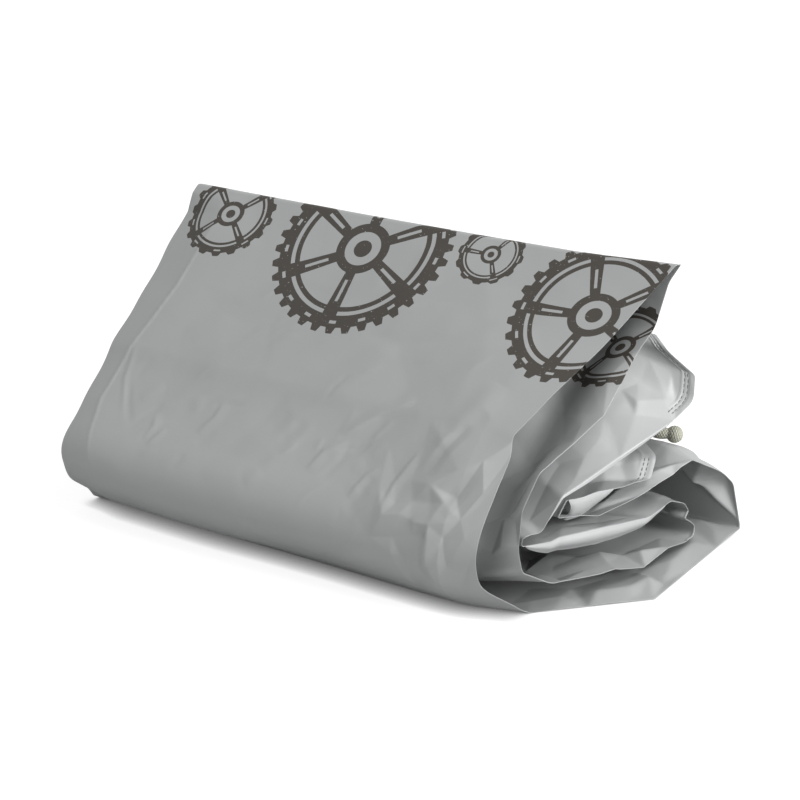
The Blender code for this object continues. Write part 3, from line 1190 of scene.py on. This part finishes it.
@dataclass(frozen=True)
class FilmFinish:
    """Satin silver film cloth, with the print that lies along the ridge.

    Attributes:
        grey, shade: the two tones of the cloth.
        ink: the print's colour.
        rough, ink_rough: how rough the cloth and the print are.
        rough_change: how much the cloth's roughness changes over it.
        metal: how metallic the silver is.
        shine: the cloth's specular level.
        speck: fineness and detail of the print's missing specks, and the noise past which one is.
        cloud: fineness and detail of the clouds of tone.
        grain: fineness, strength and depth of the grain.
        motifs: the printed cogs.
    """

    grey: Triple = (0.309, 0.314, 0.314)
    shade: Triple = (0.274, 0.280, 0.281)
    ink: Triple = (0.040, 0.035, 0.029)
    rough: float = 0.47
    ink_rough: float = 0.6
    rough_change: float = 0.06
    metal: float = 0.15
    shine: float = 0.45
    speck: Triple = (700.0, 2.0, 0.70)
    cloud: Pair = (14.0, 3.0)
    grain: Triple = (900.0, 0.12, 0.0003)
    motifs: tuple[Motif, ...] = (
        Motif(-150, -20, 33, 18, 4),
        Motif(-42, -26, 62, 34, 6),
        Motif(46, -14, 22, 12, 3),
        Motif(128, -44, 52, 28, 5),
        Motif(138, 62, 30, 16, 4),
    )

    def printed(self, n: Nodes, place: bpy.types.NodeSocket,
                cog: bpy.types.NodeTree) -> bpy.types.NodeSocket:
        """The whole print as a mask.

        Args:
            n: the material's nodes.
            place: the cloth's own map.
            cog: the printed cog's group.

        Returns:
            The mask.
        """
        ink: object = 0.0
        for motif in self.motifs:
            values = {
                "Place": place,
                "Centre X": motif.x * MM,
                "Centre S": motif.s * MM,
                "Radius": motif.radius * MM,
                "Teeth": motif.teeth,
                "Arms": motif.arms,
            }
            ink = n.math("MAXIMUM", ink, n.use(cog, values))
        scale, detail, level = self.speck
        return n.math("MULTIPLY", ink, n.math("LESS_THAN", n.noise(place, scale, detail), level))

    def build(self, cog: bpy.types.NodeTree, grain: bpy.types.NodeTree) -> bpy.types.Material:
        """The material.

        Args:
            cog: the printed cog's group.
            grain: the grain's group.

        Returns:
            The finished material.
        """
        n = Surface("satin_film_cloth")
        place = n.add("ShaderNodeUVMap", uv_map="strip").outputs[0]
        ink = self.printed(n, place, cog)
        cloud = n.noise(place, *self.cloud)
        bare = n.mix(cloud, (*self.grey, 1.0), (*self.shade, 1.0))
        rough = n.math("MULTIPLY_ADD", cloud, self.rough_change, self.rough - self.rough_change / 2)
        n.wear(
            Base_Color=n.mix(ink, bare, (*self.ink, 1.0)),
            Roughness=n.math("MULTIPLY_ADD", ink, self.ink_rough - self.rough, rough),
            Metallic=n.math("MULTIPLY", n.math("SUBTRACT", 1.0, ink), self.metal),
            Specular_IOR_Level=self.shine,
        )
        fineness, strength, depth = self.grain
        n.press(n.use(grain, {"Place": place, "Fineness": fineness}), strength, depth)
        return n.material


@dataclass(frozen=True)
class ThreadFinish:
    """Grey sewing thread: its two tones, roughness, and the fineness, strength and depth of its grain."""

    light: Triple = (0.17, 0.17, 0.175)
    dark: Triple = (0.119, 0.119, 0.1225)
    rough: float = 0.7
    tone_change: float = 0.4
    grain: Triple = (2500.0, 0.4, 0.0002)

    def build(self, grain: bpy.types.NodeTree) -> bpy.types.Material:
        """The material.

        Args:
            grain: the grain's group.

        Returns:
            The finished material.
        """
        n = Surface("sewing_thread")
        fineness, strength, depth = self.grain
        place = n.add("ShaderNodeTexCoord").outputs["Object"]
        height = n.use(grain, {"Place": place, "Fineness": fineness})
        tone = n.math("MULTIPLY", height, self.tone_change)
        n.wear(Base_Color=n.mix(tone, (*self.light, 1.0), (*self.dark, 1.0)), Roughness=self.rough)
        n.press(height, strength, depth)
        return n.material


@dataclass(frozen=True)
class CordFinish:
    """Braided elastic cord, greenish grey, with its braid in the cord's own map and painted shade in the
    braid's grooves.

    Attributes:
        light, dark: the two tones between which its colour goes; the braid's grooves take the dark one as
            painted shade.
        rough: how rough it is.
        strands: yarns round the cord.
        rows: how many yarns cross each metre of it.
        braid_shade, grain_tone: how much the braid's crowns are lightened over its grooves, as painted
            shade, and how much the grain lightens it.
        grain: fineness, strength and depth of the grain.
    """

    light: Triple = (0.36, 0.36, 0.30)
    dark: Triple = (0.14, 0.14, 0.11)
    rough: float = 0.85
    strands: float = 8.0
    rows: float = 620.0
    braid_shade: float = 0.6
    grain_tone: float = 0.35
    grain: Triple = (1500.0, 0.7, 0.0006)

    def build(self, grain: bpy.types.NodeTree) -> bpy.types.Material:
        """The material.

        Args:
            grain: the grain's group.

        Returns:
            The finished material.
        """
        n = Surface("braided_elastic")
        fineness, strength, depth = self.grain
        split = n.add("ShaderNodeSeparateXYZ")
        n.put(split.inputs[0], n.add("ShaderNodeUVMap", uv_map="cord").outputs[0])
        turn = n.math("MULTIPLY", split.outputs[0], self.strands)
        run = n.math("MULTIPLY", split.outputs[1], self.rows)
        slants = []
        for way in ("ADD", "SUBTRACT"):
            slant = n.math("SINE", n.math("MULTIPLY", n.math(way, turn, run), math.pi))
            slants.append(n.math("ABSOLUTE", slant))
        braid = n.math("MULTIPLY", *slants)
        place = n.add("ShaderNodeTexCoord").outputs["Object"]
        height = n.use(grain, {"Place": place, "Fineness": fineness})
        # Painted shade: the colour is darker in the braid's grooves and lighter on its crowns, following
        # the braid that is also pressed in.
        tone = n.math("MULTIPLY_ADD", height, self.grain_tone, n.math("MULTIPLY", braid, self.braid_shade))
        n.wear(Base_Color=n.mix(tone, (*self.dark, 1.0), (*self.light, 1.0)), Roughness=self.rough)
        n.press(n.math("ADD", braid, height), strength, depth)
        return n.material


# ---- plies --------------------------------------------------------------------------------------


class Shown(Enum):
    """Which face of the strip a ply shows, as the sign of its front."""

    UPPER = 1.0
    LOWER = -1.0


@dataclass(frozen=True)
class Tuck:
    """A stretch of rim that is turned down.

    Attributes:
        start, end: the stretch of s that it takes.
        drop: how deep it goes.
        bulge: how full it is.
        round: how round its edge is.
        blunt: how suddenly it starts and ends, lower for more.
    """

    start: float
    end: float
    drop: float
    bulge: float
    round: float
    blunt: float = 0.7

    def weight(self, s: np.ndarray) -> np.ndarray:
        """How much of the tuck there is at each place along the strip."""
        return np.sin(np.pi * np.clip((s - self.start) / (self.end - self.start), 0, 1)) ** self.blunt


@dataclass(frozen=True)
class Hem:
    """The stitched hem on a ply's rim.

    Attributes:
        start, end: the stretch of s that it takes.
        width: how wide it is.
        rise: how far its second layer stands up.
        step: how long the step onto it is.
        seams: how far each row of stitches stands from the rim.
        groove: how deep the stitches pull the cloth in.
        groove_reach: how far that reaches.
        fade: how soon the hem fades at its ends.
        pitch: length of a stitch and its gap.
        stitch: half a stitch's length, width and height.
        stitch_over: how far a stitch's middle lies over the cloth.
        spare: how far the first and the last stitch stand from the hem's ends.
    """

    start: float
    end: float
    width: float = 9.0
    rise: float = 0.35
    step: float = 0.9
    seams: Pair = (4.2, 6.4)
    groove: float = 0.55
    groove_reach: float = 0.8
    fade: float = 6.0
    pitch: float = 3.4
    stitch: Triple = (1.224, 0.33, 0.26)
    stitch_over: float = 0.12
    spare: Pair = (3.0, 2.0)

    def height(self, s: np.ndarray, from_rim: np.ndarray) -> np.ndarray:
        """Height that the hem adds.

        Args:
            s: places along the strip.
            from_rim: how far each place is from the rim.

        Returns:
            The height at each place.
        """
        band = np.clip((s - self.start) / self.fade, 0, 1) * np.clip((self.end - s) / self.fade, 0, 1)
        level = self.rise * np.clip((self.width - from_rim) / self.step, 0, 1)
        for seam in self.seams:
            level -= self.groove * np.exp(-(((from_rim - seam) / self.groove_reach) ** 2))
        return level * band


@dataclass(frozen=True)
class Cloth:
    """A ply once laid and pressed.

    Attributes:
        points: places by station and column.
        fronts: the way out of the ply's front at each place.
        s: how far each place is along the strip.
        from_rim: how far each place is from the open rim.
    """

    points: np.ndarray
    fronts: np.ndarray
    s: np.ndarray
    from_rim: np.ndarray

    def near_rim(self, s: float, inset: float) -> tuple[np.ndarray, np.ndarray, np.ndarray]:
        """A place near the open rim.

        Args:
            s: the way along the strip.
            inset: how far it stands from the rim.

        Returns:
            The place, the ply's front there, and the way along the rim.
        """
        column = int(np.argmin(np.abs(self.s[-1] - s)))
        row = int(np.argmin(np.abs(self.from_rim[:, column] - inset)))
        ahead = min(column + 1, self.points.shape[1] - 1)
        way = unit(self.points[row, ahead] - self.points[row, ahead - 2])
        return self.points[row, column], self.fronts[row, column], way


@dataclass(frozen=True)
class Ply:
    """One stretch of the strip, made as a fine open sheet with its rims rolled to the cloth's thickness.

    Attributes:
        name: the piece's name.
        first, last: the folds it runs between.
        counts: stations from the closed end to the inner section, to the throat and to the rim.
        pitch: spacing along the strip.
        shown: which face of the strip it shows.
        relief: what is pressed into it.
        rests_on: the floor or the piece below; not used.
        hem: the hem on its rim, if it has one.
        tucks: stretches of rim that are turned down.
        roll: radius of the plain rim.
        ragged: how unevenly the closed end is cut.
        ragged_waves: the waves of that cut, along s.
        ragged_reach: how far from the closed end it reaches.
        joint_fade: how near the ply's own folds the relief fades.
        coarse: spacing along the rest of the strip.
        turn_down: least way that a rim goes down.
        lean: how far a turned rim leans back, as a share of its drop.
        turn_back: how far the rim runs back underneath.
        least_height: how close the rims may come to the floor.
        rim_map: how far a row of the rim goes on the cloth's map.
        edge_angles: degrees of the rows that go over the edge.
        heel_angles: degrees of the rows that come back underneath.
        tuck_rows: rows down a rim that has tucks; a plain one has a single row.
        front_rounds: rounds of smoothing of the ply's fronts.
    """

    name: str
    first: str
    last: str
    counts: tuple[int, int, int]
    pitch: float
    shown: Shown
    relief: tuple[Relief, ...]
    rests_on: str
    hem: Hem | None = None
    tucks: tuple[Tuck, ...] = ()
    roll: float = 0.15
    ragged: float = 0.7
    ragged_waves: tuple[Wave, ...] = (Wave(15.0, start=0.7), Wave(6.1, 0.6), Wave(37.0, 0.4))
    ragged_reach: float = 16.0
    joint_fade: float = 5.0
    coarse: float = 12.0
    turn_down: float = 0.1
    lean: float = 0.35
    turn_back: float = 0.8
    least_height: float = 0.05
    rim_map: float = 0.3
    edge_angles: tuple[float, ...] = (22.5, 45.0, 67.5, 90.0)
    heel_angles: tuple[float, ...] = (120.0, 150.0, 180.0)
    tuck_rows: int = 10
    front_rounds: int = 3

    def stations(self) -> np.ndarray:
        """Stations along the packet.

        Returns:
            The stations, closer together where the open end spreads.
        """
        a, b, c = self.counts
        return np.concatenate([np.arange(a) / a, 1 + np.arange(b) / b, 2 + np.arange(c + 1) / c])

    def pressed(self, x: np.ndarray, s: np.ndarray, from_rim: np.ndarray) -> np.ndarray:
        """How far the relief and the hem stand out of the ply.

        Args:
            x: places along the packet.
            s: places along the strip.
            from_rim: how far each place is from the rim.

        Returns:
            The height at each place, 0 at the folds where the ply joins the next.
        """
        level = np.zeros_like(x)
        for item in self.relief:
            level += item.height(x, s)
        level *= np.clip(np.minimum(s - s[:, :1], s[:, -1:] - s) / self.joint_fade, 0, 1)
        if self.hem:
            level += self.hem.height(s, from_rim)
        return level

    def lay(self, strip: Strip) -> Cloth:
        """Lays the ply and presses its relief in.

        Args:
            strip: the strip it is part of.

        Returns:
            The ply's cloth.
        """
        names = [fold.name for fold in FOLDS]
        inside = names[names.index(self.first) : names.index(self.last) + 1]
        laid = strip.lay(self.stations(), dict.fromkeys(inside, self.pitch), self.coarse)
        own = slice(laid.mark[self.first], laid.mark[self.last] + 1)
        flat, s = laid.points[:, own], laid.s[:, own]
        fronts = unit(np.cross(np.gradient(flat, axis=0), np.gradient(flat, axis=1)))
        for _ in range(self.front_rounds):
            fronts = np.stack([soften(fronts[:, :, k]) for k in range(3)], axis=2)
        fronts = unit(fronts) * self.shown.value
        from_rim = run_along(flat[::-1], 0)[::-1]
        x = flat[:, :, 0]
        points = flat + fronts * self.pressed(x, s, from_rim)[:, :, None]
        points[:, :, 2] = strip.settle(points[:, :, 2])
        uneven = sum(wave.at(s) for wave in self.ragged_waves) * self.ragged
        points[:, :, 0] += uneven * np.exp(-((x - x[:1]) / self.ragged_reach))
        return Cloth(points, fronts, s, from_rim)

    def rim(self, cloth: Cloth, edge: int, tucks: tuple[Tuck, ...]) -> list[np.ndarray]:
        """Rows that finish a rim: over its edge, down a tuck where there is one, and back underneath.

        Args:
            cloth: the ply's cloth.
            edge: the row of stations that is the rim, 0 or -1.
            tucks: the tucks of this rim.

        Returns:
            The rows in order.
        """
        last = cloth.points[edge]
        out = unit(last - cloth.points[1 if edge == 0 else -2])
        under = -cloth.fronts[edge]
        radius, drop, bulge = (np.full((len(last), 1), size) for size in (self.roll, self.turn_down, 0.0))
        for tuck in tucks:
            weight = tuck.weight(cloth.s[edge])[:, None]
            radius += (tuck.round - self.roll) * weight
            drop += tuck.drop * weight
            bulge += tuck.bulge * weight
        rows = []
        for angle in map(math.radians, self.edge_angles):
            rows.append(last + out * (math.sin(angle) * radius) + under * ((1 - math.cos(angle)) * radius))
        corner = rows[-1]
        steps = self.tuck_rows if tucks else 1
        for part in (k / steps for k in range(1, steps + 1)):
            full = bulge * math.sin(math.pi * part) - drop * self.lean * part**2
            rows.append(corner + under * (drop * part) + out * full)
        heel = rows[-1] - out * radius
        for angle in map(math.radians, self.heel_angles):
            rows.append(heel + out * (math.sin(angle) * radius) - under * (math.cos(angle) * radius))
        rows.append(rows[-1] - out * self.turn_back)
        return rows

    def sheet(self, cloth: Cloth, finish: bpy.types.Material) -> bpy.types.Object:
        """The ply's sheet with both its rims.

        Args:
            cloth: the ply's cloth.
            finish: its material.

        Returns:
            The piece.
        """
        tail = self.rim(cloth, -1, self.tucks)
        nose = self.rim(cloth, 0, ())
        places = np.concatenate([np.stack(nose[::-1]), cloth.points, np.stack(tail)])
        places[:, :, 2] = np.maximum(places[:, :, 2], self.least_height)
        run = places[:, :, 0].copy()
        run[-len(tail) :] = run[-len(tail) - 1] + (np.arange(len(tail)) + 1)[:, None] * self.rim_map
        ways = np.pad(cloth.s, ((len(nose), len(tail)), (0, 0)), mode="edge")
        bm = fine_sheet(places, np.stack([run, ways], axis=2) * MM, "strip")
        if self.shown is Shown.UPPER:
            bmesh.ops.reverse_faces(bm, faces=bm.faces)
        return finish_piece(bm, self.name, finish)

    def stitches(self, cloth: Cloth, finish: bpy.types.Material) -> bpy.types.Object:
        """The hem's two rows of stitches.

        Args:
            cloth: the ply's cloth.
            finish: the thread's material.

        Returns:
            One piece with every stitch.
        """
        bm = bmesh.new()
        size = Matrix.Diagonal((*self.hem.stitch, 1.0))
        for seam in self.hem.seams:
            s = self.hem.start + self.hem.spare[0]
            while s < self.hem.end - self.hem.spare[1]:
                place, front, way = cloth.near_rim(s, seam)
                turn = Matrix((way, np.cross(front, way), front)).transposed().to_4x4()
                at = Matrix.Translation(Vector(place + front * self.hem.stitch_over))
                matrix = Matrix.Scale(MM, 4) @ at @ turn @ size
                bmesh.ops.create_icosphere(bm, subdivisions=2, radius=1.0, matrix=matrix)
                s += self.hem.pitch
        bmesh.ops.recalc_face_normals(bm, faces=bm.faces)
        return finish_piece(bm, self.name.replace("ply", "stitches"), finish)

    def build(self, strip: Strip, film: bpy.types.Material,
              thread: bpy.types.Material) -> list[bpy.types.Object]:
        """Makes and dresses the ply, with its stitches where it has a hem.

        Args:
            strip: the strip it is part of.
            film: the cloth's material.
            thread: the stitches' material.

        Returns:
            The pieces.
        """
        cloth = self.lay(strip)
        piece = self.sheet(cloth, film)
        parts = [piece]
        if self.hem:
            parts.append(self.stitches(cloth, thread))
        for part in parts:
            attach(part, "root")
            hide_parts("cover_cloth")
        return parts


# The plies in their order along the strip.
PLIES = (
    Ply(
        "tip_ply", "tip_end", "tuck_upper", (20, 26, 60), 1.1, Shown.LOWER, TIP_RELIEF, "hump_ply",
        hem=Hem(-761, -737), tucks=(Tuck(-716, -652, 12.0, 1.5, 0.8),),
    ),
    Ply("hump_ply", "tuck_upper", "back_foot", (50, 60, 80), 1.3, Shown.UPPER, HUMP_RELIEF, "under_ply"),
    Ply("under_ply", "back_foot", "front_foot", (20, 24, 60), 1.5, Shown.LOWER, UNDER_RELIEF, "floor"),
    Ply("face_ply", "front_foot", "ridge_back", (100, 130, 66), 1.2, Shown.UPPER, FACE_RELIEF, "under_ply"),
    Ply("neck_ply", "ridge_back", "roll_foot", (50, 70, 80), 1.0, Shown.LOWER, NECK_RELIEF, "base_ply"),
    Ply("base_ply", "roll_foot", "roll_heel", (20, 30, 90), 1.0, Shown.UPPER, BASE_RELIEF, "under_ply"),
    Ply(
        "roll_ply", "roll_heel", "flap_turn", (20, 30, 90), 1.0, Shown.LOWER, ROLL_RELIEF, "base_ply",
        tucks=(Tuck(445, 565, 9.0, 1.4, 1.2),),
    ),
    Ply(
        "flap_ply", "flap_turn", "flap_crown", (40, 50, 100), 1.0, Shown.UPPER, FLAP_RELIEF, "roll_ply",
        hem=Hem(709, 771), tucks=(Tuck(593, 707, 1.5, 0.5, 1.4),),
    ),
    Ply("rear_ply", "flap_crown", "inner_end", (90, 100, 40), 1.6, Shown.UPPER, REAR_RELIEF, "hump_ply"),
)


# ---- the elastic cord ---------------------------------------------------------------------------


@dataclass(frozen=True)
class Lobe:
    """One round lobe of the knot: its radius, and its middle and half length as shares of the knot."""

    radius: float
    middle: float
    half: float

    def radii(self, share: np.ndarray) -> np.ndarray:
        """The lobe's radius at each share of the knot's length."""
        return self.radius * np.clip(1 - ((share - self.middle) / self.half) ** 2, 0, 1) ** 0.5


@dataclass(frozen=True)
class HemCord:
    """The elastic that leaves the hem, with the knot at its end.

    Attributes:
        course: the places it passes.
        radius: its radius.
        places: how many places its mesh has along it; the knot's are twice as close.
        blunt: how thick it is next to each tip, as a share of its radius.
        tip: radius at which a tip is closed.
        knot_start: where the knot starts, as a share of the cord.
        lobes: the knot's collar and its round end.
        sides: faces round the cord.
        merge_m: distance at which the tube's edges are joined, metres.
    """

    course: tuple[Triple, ...] = (
        (92, 66, 70.0),
        (112, 66, 70.0),
        (132, 68, 69.4),
        (144, 72, 69.3),
        (155.5, 78.5, 68.0),
    )
    radius: float = 2.5
    places: int = 60
    blunt: float = 0.7
    tip: float = 0.05
    knot_start: float = 0.66
    lobes: tuple[Lobe, ...] = (Lobe(3.9, 0.36, 0.36), Lobe(5.4, 0.76, 0.24))
    sides: int = 20
    merge_m: float = 1e-6

    def route(self, strip: Strip, count: int) -> np.ndarray:
        """The cord's smooth course.

        Args:
            strip: the strip that it comes out of.
            count: how many places to give.

        Returns:
            One place a row.
        """
        known = np.array(self.course) + np.array([0.0, strip.centre_y, 0.0])
        runs = run_along(known, 0)
        at = np.linspace(0, runs[-1], count)
        slopes = np.gradient(known, runs, axis=0)
        i = np.minimum(np.searchsorted(runs, at, side="right") - 1, len(known) - 2)
        whole = (runs[i + 1] - runs[i])[:, None]
        t = (at - runs[i])[:, None] / whole
        return cubic(t, known[i], known[i + 1], slopes[i] * whole, slopes[i + 1] * whole)

    def tube(self, name: str, spine: np.ndarray, radii: np.ndarray,
             finish: bpy.types.Material) -> bpy.types.Object:
        """A closed tube along a spine, with its own map round and along it.

        Args:
            name: the piece's name.
            spine: places along its middle.
            radii: its radius at each place.
            finish: its material.

        Returns:
            The piece.
        """
        ways = unit(np.gradient(spine, axis=0))
        side = unit(np.cross(ways, UP))
        top = np.cross(side, ways)
        shares = np.arange(self.sides + 1) / self.sides
        angles = (math.tau * shares)[None, :, None]
        out = side[:, None] * np.cos(angles) + top[:, None] * np.sin(angles)
        maps = np.stack(np.meshgrid(shares, run_along(spine, 0) * MM), axis=2)
        bm = fine_sheet(spine[:, None] + out * radii[:, None, None], maps, "cord")
        bmesh.ops.remove_doubles(bm, verts=bm.verts, dist=self.merge_m)
        bmesh.ops.recalc_face_normals(bm, faces=bm.faces)
        return finish_piece(bm, name, finish)

    def build(self, strip: Strip, finish: bpy.types.Material) -> list[bpy.types.Object]:
        """Makes and dresses the cord and its knot.

        Args:
            strip: the strip that it comes out of.
            finish: the braid's material.

        Returns:
            The pieces.
        """
        spine = self.route(strip, self.places)
        radii = np.full(len(spine), self.radius)
        radii[0] = radii[-1] = self.tip
        radii[1] = radii[-2] = self.radius * self.blunt
        cord = self.tube("elastic_cord", spine, radii, finish)
        lump = self.route(strip, 2 * self.places)
        lump = lump[int(self.knot_start * len(lump)) :]
        share = np.linspace(0, 1, len(lump))
        thick = np.maximum.reduce([lobe.radii(share) for lobe in self.lobes])
        knot = self.tube("elastic_knot", lump, np.maximum(thick, self.tip), finish)
        for piece in (cord, knot):
            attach(piece, "root")
            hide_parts("hem_cord")
        return [cord, knot]


# ---- the studio ---------------------------------------------------------------------------------


def stand(name: str, data: bpy.types.ID, place: Vector, way: Vector) -> bpy.types.Object:
    """Puts a light or a camera in the scene.

    Args:
        name: its name.
        data: what it is.
        place: where it stands, metres.
        way: the way it looks.

    Returns:
        The object.
    """
    obj = bpy.data.objects.new(name, data)
    obj.location = place
    obj.rotation_euler = way.to_track_quat("-Z", "Y").to_euler()
    bpy.context.scene.collection.objects.link(obj)
    return obj


@dataclass(frozen=True)
class Lamp:
    """A square soft light: its name, its place and side in metres, and its watts."""

    name: str
    place: Triple
    size: float
    power: float

    def build(self, target: Vector) -> None:
        """Makes the light.

        Args:
            target: the place that it faces, metres.
        """
        data = bpy.data.lights.new(self.name, "AREA")
        data.shape = "SQUARE"
        data.size = self.size
        data.energy = self.power
        place = Vector(self.place)
        stand(self.name, data, place, target - place)


@dataclass(frozen=True)
class FloorFinish:
    """A pale floor that shows white, with a painted close shadow where the packet touches it: its glow to
    the camera dims there.

    Attributes:
        bounce: how pale it is to the packet.
        shown: how pale it is to the camera.
        glow: how much it glows to the camera where it is open, and least where it is covered, which paints
            the close shadow.
        shadow_reach_m: how near something has to be to dim the glow into that painted shadow, metres.
        shadow_samples: how many ways it looks for it.
        rough, shine: its roughness and specular level.
    """

    bounce: float = 0.56
    shown: float = 0.22
    glow: Pair = (0.8, 0.05)
    shadow_reach_m: float = 0.011
    shadow_samples: int = 8
    rough: float = 0.9
    shine: float = 0.1

    def build(self) -> bpy.types.Material:
        """The material.

        Returns:
            The finished material.
        """
        n = Surface("pale_floor")
        seen = n.add("ShaderNodeLightPath").outputs["Is Camera Ray"]
        # Painted shadow: ambient occlusion dims the camera-only glow where the packet comes near, a contact
        # shadow painted into the floor.
        close = n.add("ShaderNodeAmbientOcclusion", samples=self.shadow_samples)
        n.put(close.inputs["Distance"], self.shadow_reach_m)
        glow = n.math("MULTIPLY_ADD", close.outputs["AO"], *self.glow)
        n.wear(
            Base_Color=n.mix(seen, (*[self.bounce] * 3, 1.0), (*[self.shown] * 3, 1.0)),
            Emission_Color=WHITE,
            Emission_Strength=n.math("MULTIPLY", seen, glow),
            Roughness=self.rough,
            Specular_IOR_Level=self.shine,
        )
        return n.material


@dataclass(frozen=True)
class Studio:
    """Floor, light and camera.

    Attributes:
        azimuth, elevation: the camera's angle, degrees.
        lens, sensor: the camera's lens and sensor.
        distance: how far the camera stands from its target.
        target: what the camera looks at.
        near_m: how near the camera sees, metres.
        aim_m: what the lights face, metres.
        lamps: the lights.
        sky: how bright the room is, and how much brighter it shows.
        floor_half_m: half the floor's side, metres.
    """

    azimuth: float = 34.0
    elevation: float = 21.0
    lens: float = 94.5
    sensor: float = 36.0
    distance: float = 1261.8
    target: Triple = (24.4, -38.2, 100.9)
    near_m: float = 0.05
    aim_m: Triple = (0.0, 0.0, 0.08)
    lamps: tuple[Lamp, ...] = (
        Lamp("key", (2.2, 0.2, 0.9), 1.0, 62.0),
        Lamp("top", (1.2, 0.1, 2.0), 1.0, 20.0),
    )
    sky: Pair = (0.82, 0.3)
    floor_half_m: float = 12.0

    def camera(self) -> None:
        """Makes the camera."""
        azimuth, elevation = math.radians(self.azimuth), math.radians(self.elevation)
        ahead = math.cos(elevation)
        back = Vector((math.sin(azimuth) * ahead, -math.cos(azimuth) * ahead, math.sin(elevation)))
        data = bpy.data.cameras.new("camera")
        data.lens = self.lens
        data.sensor_width = self.sensor
        data.clip_start = self.near_m
        place = (Vector(self.target) + back * self.distance) * MM
        bpy.context.scene.camera = stand("camera", data, place, -back)

    def floor(self) -> None:
        """Lays the floor."""
        bm = bmesh.new()
        bmesh.ops.create_grid(bm, x_segments=1, y_segments=1, size=self.floor_half_m)
        finish_piece(bm, "floor", FloorFinish().build())

    def room(self) -> None:
        """Lights the room evenly and shows it white."""
        world = bpy.data.worlds.new("studio")
        world.use_nodes = True
        n = Nodes(world.node_tree)
        light = world.node_tree.nodes["Background"].inputs
        n.put(light["Color"], WHITE)
        seen = n.add("ShaderNodeLightPath").outputs["Is Camera Ray"]
        everywhere, shown = self.sky
        n.put(light["Strength"], n.math("MULTIPLY_ADD", seen, shown, everywhere))
        bpy.context.scene.world = world

    def build(self) -> None:
        """Sets the floor, the room, the lights and the camera."""
        self.floor()
        self.room()
        for lamp in self.lamps:
            lamp.build(Vector(self.aim_m))
        self.camera()
        bpy.context.scene.view_settings.view_transform = "Standard"


# ---- making it ----------------------------------------------------------------------------------


def main() -> None:
    """Builds the studio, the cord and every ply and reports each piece."""
    logging.basicConfig(level=logging.INFO, format="%(message)s")
    Studio().build()
    cog, grain = CogPrint().build(), Grain().build()
    film, thread = FilmFinish().build(cog, grain), ThreadFinish().build(grain)
    strip = Strip()
    pieces = HemCord().build(strip, CordFinish().build(grain))
    for ply in PLIES:
        pieces += ply.build(strip, film, thread)
    for piece in pieces:
        LOG.info("%s: %d faces", piece.name, len(piece.data.polygons))


if __name__ == "__main__":
    main()
